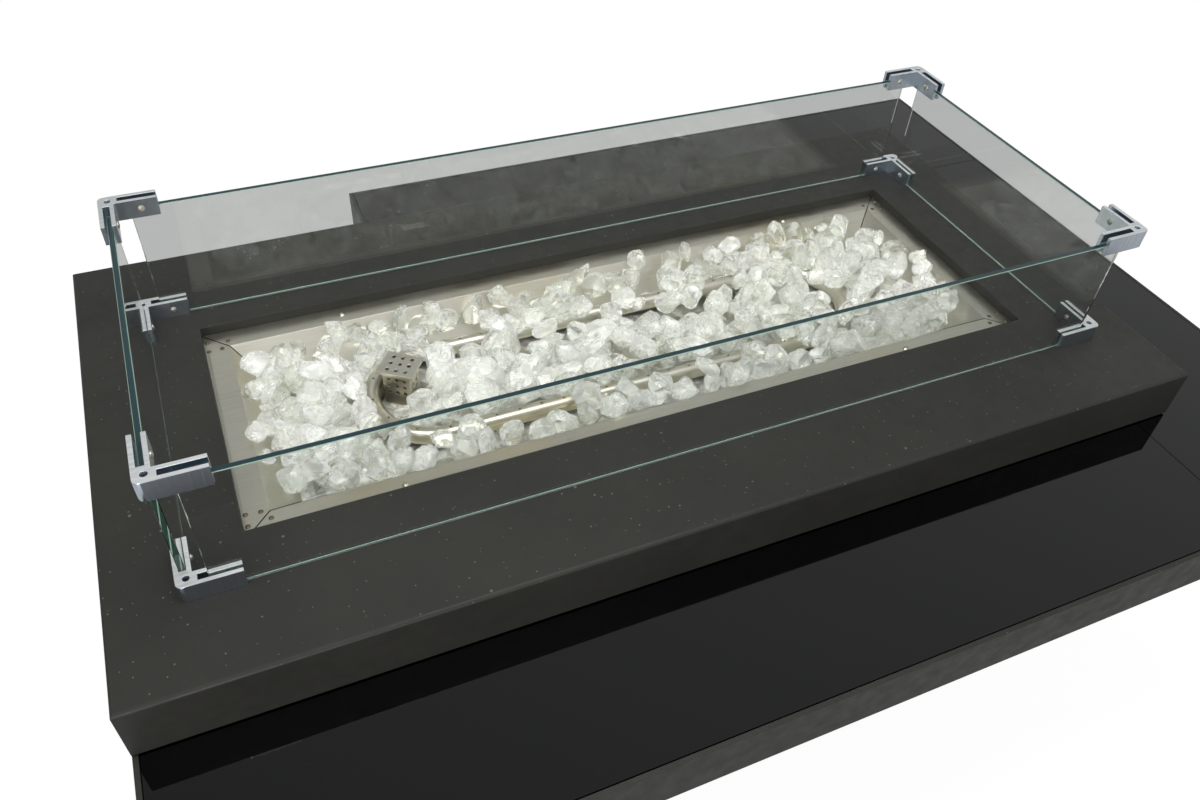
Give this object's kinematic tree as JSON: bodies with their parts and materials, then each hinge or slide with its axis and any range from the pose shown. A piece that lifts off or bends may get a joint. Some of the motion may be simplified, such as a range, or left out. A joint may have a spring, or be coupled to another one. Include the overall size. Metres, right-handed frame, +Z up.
{
  "type": "gas fire pit table",
  "caption": "Rectangular gas fire pit table with a dark metal burner top, a lower black glass tier, fire glass and a glass wind guard.",
  "frame": {"origin": "on the floor, under the middle of the whole footprint with the lower tier", "axes": "+Z up, +X along the long side towards the end that the lower tier wraps round, -Y towards the long front strip, and the door and controls face -X"},
  "size_m": [1.341, 0.964, 0.777],
  "materials": {
    "painted_steel": "fine matt powder coat, dark brown black",
    "black_glass": "polished black glass",
    "pan_steel": "brushed stainless steel",
    "zinc_plate": "zinc plated",
    "aluminium": "polished anodised",
    "clear_glass": "clear toughened glass with green edges",
    "fire_glass": "pale clear broken glass",
    "rubber": "matt",
    "black_plastic": "matt moulded",
    "gloss_button": "gloss moulded",
    "black_screw": "satin black",
    "brass": "plain brass",
    "ceramic": "white ceramic"
  },
  "bodies": {
    "table": {"burner_top": "painted_steel", "top_frame": "painted_steel", "pan_rails": "zinc_plate", "rest_pads": "rubber", "tier_frame": "painted_steel", "tile_front": "black_glass", "tile_right": "black_glass", "tile_back": "black_glass", "tile_tapes": "rubber", "tier_gussets": "zinc_plate", "tier_bolts": "zinc_plate", "front_panel": "painted_steel", "back_panel": "painted_steel", "right_panel": "painted_steel", "left_panel": "painted_steel", "panel_screws": "black_screw", "base_plate": "painted_steel", "corner_posts": "painted_steel", "floor_glides": "black_plastic", "control_plate": "black_screw", "gas_valve": "brass", "valve_nut": "zinc_plate", "igniter_body": "black_plastic", "gas_inlet": "brass", "feed_pipe": "brass", "air_mixer": "brass", "pilot_tube": "aluminium", "burner_pan": "pan_steel", "pan_rivets": "pan_steel", "pan_screws": "pan_steel", "burner_tube": "pan_steel", "burner_brackets": "pan_steel", "pilot_bracket": "pan_steel", "pilot_cover": "pan_steel", "pilot_burner": "brass", "thermocouple": "pan_steel", "spark_electrode": "ceramic", "fire_glass_bed": "fire_glass", "fire_glass_middle": "fire_glass", "fire_glass_edges": "fire_glass", "fire_glass_ends": "fire_glass", "hinge_fixed_leaves": "zinc_plate", "hinge_pins": "zinc_plate", "door_magnet": "black_plastic"},
    "guard": {"guard_glass_front": "clear_glass", "guard_glass_back": "clear_glass", "guard_glass_left": "clear_glass", "guard_glass_right": "clear_glass", "guard_clips_lower": "aluminium", "guard_clips_upper": "aluminium", "guard_screws": "pan_steel"},
    "door": {"door_panel": "painted_steel", "door_handle": "pan_steel", "hinge_door_leaves": "zinc_plate", "door_strike": "zinc_plate"},
    "stem_slide": {"stem_collar": "pan_steel"},
    "knob": {"control_knob": "black_plastic", "valve_stem": "pan_steel"},
    "igniter": {"igniter_button": "gloss_button"}
  },
  "joints": [
    {"name": "guard_lift", "type": "slide", "parent": "table", "child": "guard", "axis": [0, 0, 1], "range_m": [0, 0.25]},
    {"name": "door_hinge", "type": "hinge", "parent": "table", "child": "door", "pos_m": [-0.6135, 0.20575, 0.28], "axis": [0, 0, -1], "range_deg": [0, 110]},
    {"name": "knob_push", "type": "slide", "parent": "table", "child": "stem_slide", "axis": [1, 0, 0], "range_m": [0, 0.004], "stiffness_N_per_m": 1500, "springref_m": -0.004},
    {"name": "knob_turn", "type": "hinge", "parent": "stem_slide", "child": "knob", "pos_m": [-0.6245, -0.165, 0.468], "axis": [1, 0, 0], "range_deg": [0, 180]},
    {"name": "igniter_push", "type": "slide", "parent": "table", "child": "igniter", "axis": [1, 0, 0], "range_m": [0, 0.005], "stiffness_N_per_m": 1200, "springref_m": -0.004}
  ]
}
